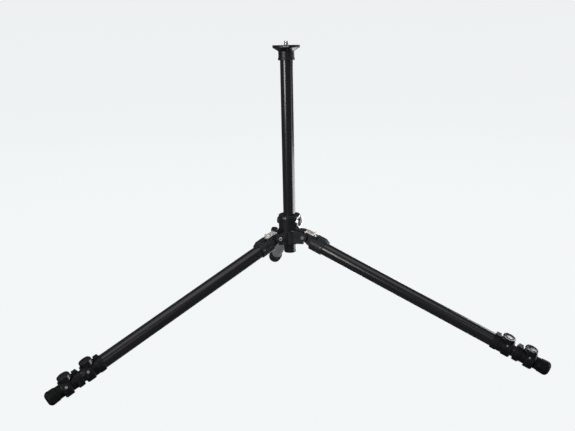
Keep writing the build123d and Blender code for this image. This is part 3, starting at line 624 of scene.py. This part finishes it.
def wrapped_badge_and_highlight(name, radius, azimuth, half_angle, low, high, thick, body, slot, finish):
    """A thin plate wrapped on a cylinder about the column's axis: a blank label, and in one use a bright strip
    that paints a highlight.
    """
    rows = ((low, 0.0), (low, thick - 0.08), (low + BADGE_EDGE, thick), (high - BADGE_EDGE, thick),
            (high, thick - 0.08), (high, 0.0))
    verts, middle = [], (low + high) / 2
    for k in range(BADGE_STEPS + 1):
        share = 2 * k / BADGE_STEPS - 1
        a = radians(azimuth + half_angle * share)
        near_end = max(0.0, abs(share) - BADGE_ROUNDED_FROM) / (1 - BADGE_ROUNDED_FROM)
        for height, out in rows:
            h = middle + (height - middle) * (1 - 2 * BADGE_PULL * near_end)
            r = (radius + out) * MM
            verts.append(Vector((r * cos(a), r * sin(a), h * MM)))
    mesh_piece(name, verts, strip_faces(BADGE_STEPS, len(rows)), body, slot, "hub",
               material_for(finish, "hub"))


wrapped_badge_and_highlight("plate_badge", PLATE_R - 0.05, 264, 12, -4.4, -1.6, 0.3,
              "column", "latch_metal", "badge_grey")
wrapped_badge_and_highlight("collar_badge", COLLAR_R - 0.05, 236, 10, COLLAR_TOP - 7.0, COLLAR_TOP - 3.6, 0.3,
              "hub", "latch_metal", "badge_grey")
# painted highlight: a bright metal strip on the lit arc only, where light catches the collar's lower edge
wrapped_badge_and_highlight("collar_seam_painted_highlight", COLLAR_R - 0.4, 305, 32, SEAM, SEAM + 1.1, 0.62,
              "hub", "bezel_metal", "bezel_metal")


# ---- the legs' own details, in mm down the leg, out from its axis
FOOT_END = max((FRAMES["left"].inverted() @ v.co).z for v in nodes["left_foot"].data.vertices) / MM
UPPER_END, LOWER_END = FOOT_END - 81.5, FOOT_END - 33.0  # the lower ends of the two flip locks
LEVER_TILT, LEVER_TOP, DISH_DEPTH = 4.0, 24.6, 0.9
DISC_BEFORE_END = 25.5 - 9.6  # the lever's pin is 25.5 above the lock's end, its disc 9.6 past it
RIDGE_FROM_DISC, RIDGE_PITCH = 6.6, 1.5
RIB_BEFORE_END, RIB_SEAT_R = 43.0 - 7.2, 16.8 - 0.3  # the ribs start 0.3 inside the collar
RIB_COUNT, RIB_FIRST_ANGLE, RIB_ARC = 26, 44, 272
BEADS_BEFORE_END, BEAD_R, BEAD_STEPS, BEAD_FIRST_ANGLE, BEAD_ARC = (14.6, 2.9), 18.2, 44, 64, 232
BEAD_SECTION = ((-0.45, -0.2), (-0.32, 0.24), (0.0, 0.36), (0.32, 0.24), (0.45, -0.2))
DISH_PROFILE = [
    (0, -0.3), (9.9, -0.3), (9.9, 0.66), (9.7, 0.76), (9.4, 0.72), (8.4, 0.52), (7.2, 0.34),
    (6.0, 0.2), (4.5, 0.08), (3.0, 0.02), (1.5, 0.0), (0, 0.0),
]


def make_lever_dish(leg, section, end):
    """The smooth thumb dish in the top of a lever's disc."""
    at = turned_frame(FRAMES[leg], LEVER_TILT, end - DISC_BEFORE_END, LEVER_TOP - DISH_DEPTH)
    name = f"{leg}_{section}_lever"
    turned_piece(f"{name}_dish", facing_out(at), DISH_PROFILE, name, "lever_plastic", leg, count=64)


def make_lever_ridges(leg, section, end):
    """Three moulded thumb ridges at the lever's free edge."""
    parts = []
    for k, half in enumerate((5.4, 4.6, 3.4)):
        along = end - DISC_BEFORE_END + RIDGE_FROM_DISC + RIDGE_PITCH * k
        at = turned_frame(FRAMES[leg], LEVER_TILT, along, LEVER_TOP - DISH_DEPTH + 0.15)
        parts.append(pad_mesh(facing_out(at), 0.8, 2 * half, 0.68, corner=0.38, edge=0.25))
    name = f"{leg}_{section}_lever"
    mesh_piece(f"{name}_ridges", *join(parts), name, "lever_plastic", leg)


def make_clamp_ribs(leg, section, end, body):
    """Moulded grip ribs round the collar of a flip lock, clear of its top."""
    parts = []
    for k in range(RIB_COUNT):
        angle = RIB_FIRST_ANGLE + k * (RIB_ARC / (RIB_COUNT - 1))
        at = turned_frame(FRAMES[leg], angle, end - RIB_BEFORE_END, RIB_SEAT_R)
        parts.append(pad_mesh(facing_out(at), 9.6, 1.7, 0.68, corner=0.8, edge=0.3))
    mesh_piece(f"{leg}_{section}_clamp_ribs", *join(parts), body, "lock_plastic", leg)


def make_ring_beads(leg, section, end, body):
    """Two fine moulded beads round the split ring, open at its top."""
    parts = []
    for before_end in BEADS_BEFORE_END:
        verts = []
        for k in range(BEAD_STEPS + 1):
            angle = radians(BEAD_FIRST_ANGLE + BEAD_ARC * k / BEAD_STEPS)
            for shift, out in BEAD_SECTION:
                r = (BEAD_R + out) * MM
                z = (end - before_end + shift) * MM
                verts.append(FRAMES[leg] @ Vector((r * cos(angle), r * sin(angle), z)))
        parts.append((verts, strip_faces(BEAD_STEPS, len(BEAD_SECTION))))
    mesh_piece(f"{leg}_{section}_ring_beads", *join(parts), body, "lock_plastic", leg)


LATCH_TOP, LATCH_PAD_MIDDLE = 20.4, 6.4
LATCH_RIBS, LATCH_RIB_PITCH = 4, 2.8
LIP_TOP, LIP_START, LIP_RIDGES, LIP_RIDGE_PITCH = 23.4, 16.0, 3, 1.3


def make_latch_pad(leg):
    """A warm brown inlay on the latch, with cross ribs, and ridges on its lip."""
    at = turned_frame(FRAMES[leg], 0, LATCH_PAD_MIDDLE, LATCH_TOP - 0.25)
    inlay = warm_inlay(f"latch_inlay_{leg}", FRAMES[leg])
    pad = pad_mesh(facing_out(at), 13.2, 11.6, 0.6, corner=2.0, edge=0.35)
    mesh_piece(f"{leg}_latch_inlay", *pad, f"{leg}_latch", "latch_metal", leg, inlay)
    parts = []
    first = LATCH_PAD_MIDDLE - LATCH_RIB_PITCH * (LATCH_RIBS - 1) / 2
    for k in range(LATCH_RIBS):
        rib = turned_frame(FRAMES[leg], 0, first + LATCH_RIB_PITCH * k, LATCH_TOP + 0.1)
        parts.append(pad_mesh(facing_out(rib), 0.9, 9.2, 0.6, corner=0.42, edge=0.25))
    for k in range(LIP_RIDGES):
        rib = turned_frame(FRAMES[leg], 0, LIP_START + LIP_RIDGE_PITCH * k, LIP_TOP)
        parts.append(pad_mesh(facing_out(rib), 0.6, 14.0, 0.5, corner=0.28, edge=0.2))
    mesh_piece(f"{leg}_latch_ribs", *join(parts), f"{leg}_latch", "latch_metal", leg)


RIVET_ANGLES, RIVET_ALONG, RIVET_SEAT_R = (-76, 76, 180), 46.5, 16.75


def make_rivets(leg):
    """Rivets through the shoulder's socket that hold the top tube."""
    parts = []
    for angle in RIVET_ANGLES:
        at = facing_out(turned_frame(FRAMES[leg], angle, RIVET_ALONG, RIVET_SEAT_R))
        parts.append(dome_mesh(at, 1.9, 0.75))
    mesh_piece(f"{leg}_shoulder_rivets", *join(parts), f"{leg}_leg", "steel", leg,
               material_for("screw_steel", leg))


FOOT_START = FOOT_END - 32.5
TIP_CURVE, TIP_INNER_R, TIP_STEPS = 8.95, 6.0, 12  # the tip's rounding, and the flat inside it
LUG_COUNT, LUG_DEPTH = 24, 0.5


def foot_profile():
    """The CAD foot's outline with turned grooves, from its mouth to the middle of its tip."""
    rows = [(0, 4), (10.3, 4), (10.3, 0.1), (12.7, 0.1), (13.1, 0.6)]
    for at in (2.6, 4.6, 6.6):
        rows += [(13.16, at - 0.55), (12.72, at - 0.25), (12.72, at + 0.25), (13.16, at + 0.55)]
    rows += [(13.18, 8.6), (13.4, 9.4), (14.2, 10.8), (14.5, 11.6)]
    for k in range(5):
        at = 12.6 + 2.2 * k
        r = min(14.96, 14.3 + 0.66 * (at - 11) / 12.5)
        rows += [(r, at - 0.7), (r - 0.02, at + 0.1), (r - 0.42, at + 0.45), (r - 0.42, at + 0.85),
                 (r, at + 1.15)]
    rows = [(r, FOOT_START + at) for r, at in rows]
    centre = FOOT_END - 9
    for step in range(TIP_STEPS + 1):
        a = step / TIP_STEPS * pi / 2
        rows.append((TIP_INNER_R + TIP_CURVE * cos(a), centre + TIP_CURVE * sin(a)))
    tip = [(5.2, 0.05), (4.9, 0.5), (3.2, 0.5), (2.9, 0.05), (0, 0.05)]
    return rows + [(r, FOOT_END - depth) for r, depth in tip]


def foot_ripple(angle, radius, height):
    """Tread lugs round the curve of the tip."""
    past_side = min(1.0, max(0.0, (height - (FOOT_END - 9.5)) / 3.0))
    before_flat = min(1.0, max(0.0, (radius - 6.4) / 2.0))
    wave = 0.5 + 0.5 * cos(angle * LUG_COUNT)
    return radius - LUG_DEPTH * past_side * before_flat * max(0.0, min(1.0, (0.42 - wave) * 6))


def make_foot(leg):
    """The rubber foot with its grooves and lugs, in place of the plain one."""
    name = f"{leg}_foot"
    foot = turned_piece(f"{name}_ribbed", FRAMES[leg], foot_profile(), f"{leg}_lower",
                        "foot_rubber", leg, count=144, ripple=foot_ripple)
    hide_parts(name)


for leg in LEGS:
    for section, end, body in (("upper", UPPER_END, f"{leg}_leg"),
                               ("lower", LOWER_END, f"{leg}_middle")):
        make_lever_dish(leg, section, end)
        make_lever_ridges(leg, section, end)
        make_clamp_ribs(leg, section, end, body)
        make_ring_beads(leg, section, end, body)
    make_latch_pad(leg)
    make_rivets(leg)
    make_foot(leg)


# ---------------------------------------------------------------- floor and light
FLOOR_Z = cad_low.z
FLOOR_MIDDLE, FLOOR_EDGE = 0.925, 0.87  # how bright the painted glow is near the object and far off, a painted pool of light
FLOOR_NEAR, FLOOR_FAR = 1.0, 8.0  # metres from the object at which the change starts and ends
FLAT_RINGS, SWEEP_RADIUS, SWEEP_STEPS, WALL_HEIGHT = (0.0, 1.5, 3.0, 4.2), 2.6, 12, 5.5
FLOOR_COUNT = 96


def make_stage():
    """A pale floor that sweeps up all round into a pale wall, with no corner to see."""
    rings = [(radius, 0.0) for radius in FLAT_RINGS]
    for step in range(1, SWEEP_STEPS + 1):
        a = step / SWEEP_STEPS * pi / 2
        rings.append((FLAT_RINGS[-1] + SWEEP_RADIUS * sin(a), SWEEP_RADIUS * (1 - cos(a))))
    rings.append((FLAT_RINGS[-1] + SWEEP_RADIUS, WALL_HEIGHT))
    verts = []
    for radius, height in rings:
        for i in range(FLOOR_COUNT):
            a = 2 * pi * i / FLOOR_COUNT
            verts.append((radius * cos(a), radius * sin(a), FLOOR_Z + height))
    faces = strip_faces(len(rings) - 1, FLOOR_COUNT, ends=False)
    mesh = bpy.data.meshes.new("studio_floor")
    mesh.from_pydata(verts, [], faces)
    mesh.update()
    for p in mesh.polygons:
        p.use_smooth = True
    obj = bpy.data.objects.new("studio_floor", mesh)
    bpy.context.scene.collection.objects.link(obj)
    put_material(obj, floor_material())
    # the object mirrors the lamps and the dim room, not the bright sweep
    obj.visible_glossy = False
    obj.visible_diffuse = False
    obj.visible_shadow = False


def floor_material():
    """A pale sweep that glows, alike all round, with a painted pool of light: brightest about the object and a
    little dimmer far off.
    """
    t = Tree("studio_floor")
    coord = t.new("ShaderNodeTexCoord")
    distance = t.new("ShaderNodeVectorMath", operation="LENGTH")
    t.link(coord.outputs["Object"], distance.inputs[0])
    # painted pool of light: the floor's glow is brightest about the object and dimmer far off
    painted_pool = t.ramp(distance.outputs["Value"], FLOOR_NEAR, FLOOR_FAR, FLOOR_MIDDLE, FLOOR_EDGE,
                     interpolation_type="SMOOTHSTEP")
    paper = t.noise(coord.outputs["Object"], 260, 2)
    light = t.math("MULTIPLY", painted_pool, t.ramp(paper, 0.3, 0.7, 0.995, 1.005))
    t.set("Base Color", (0.002, 0.002, 0.002))
    t.set("Roughness", 1.0)
    t.set("Specular IOR Level", 0.0)
    t.set("Emission Color", (0.975, 1.0, 1.005))
    t.link(light, t.bsdf.inputs["Emission Strength"])
    return t.material


def area(name, at, target, size, radiance, color=(1, 1, 1)):
    """A soft box aimed at a point, as bright as its radiance whatever its size."""
    data = bpy.data.lights.new(name, "AREA")
    data.shape = "RECTANGLE"
    data.size, data.size_y = size
    data.energy = radiance * pi * size[0] * size[1]
    data.color = color
    obj = bpy.data.objects.new(name, data)
    obj.location = at
    obj.rotation_mode = "QUATERNION"
    obj.rotation_quaternion = (Vector(target) - Vector(at)).to_track_quat("-Z", "Y")
    obj.visible_camera = False
    bpy.context.scene.collection.objects.link(obj)


WORLD_COLOR, WORLD_STRENGTH = (0.93, 0.96, 1.0, 1), 0.13
WARM_WHITE = (1.0, 0.985, 0.965)


def make_light():
    """A dim room and soft boxes; those below the floor stand in for light off the pale floor."""
    world = bpy.data.worlds.new("studio_world")
    world.use_nodes = True
    background = world.node_tree.nodes["Background"]
    background.inputs["Color"].default_value = WORLD_COLOR
    background.inputs["Strength"].default_value = WORLD_STRENGTH
    bpy.context.scene.world = world
    area("key_left", (-1.53, -1.58, 0.2), (0, 0, -0.05), (0.8, 1.0), 12.0, WARM_WHITE)
    area("low_right", (1.3, -0.25, -0.48), (0, 0, -0.3), (0.4, 0.8), 1.9)
    area("glow_right", (1.25, 0.15, -0.63), (0, 0, -0.38), (1.5, 0.38), 6.5)
    area("ring_right", (0.75, 1.30, -0.85), (0, 0, -0.39), (0.55, 1.6), 2.8)
    area("back_right", (1.34, 0.68, 0.10), (0.39, -0.22, -0.62), (0.26, 0.26), 12.0)
    area("floor_bounce", (0.35, 0.85, -0.85), (0, 0, 0), (0.35, 0.3), 6.0)
    area("floor_back", (0.0, 1.5, -1.1), (0, 0.3, -0.5), (0.8, 0.5), 0.14)
    area("overhead", (-0.1, -0.6, 1.6), (0, 0, -0.4), (2.2, 1.6), 1.15)
    area("front_fill", (0.3, -2.3, 0.6), (0, 0, -0.4), (1.4, 0.8), 0.8)
    bpy.context.scene.view_settings.view_transform = "Standard"


make_stage()
make_light()
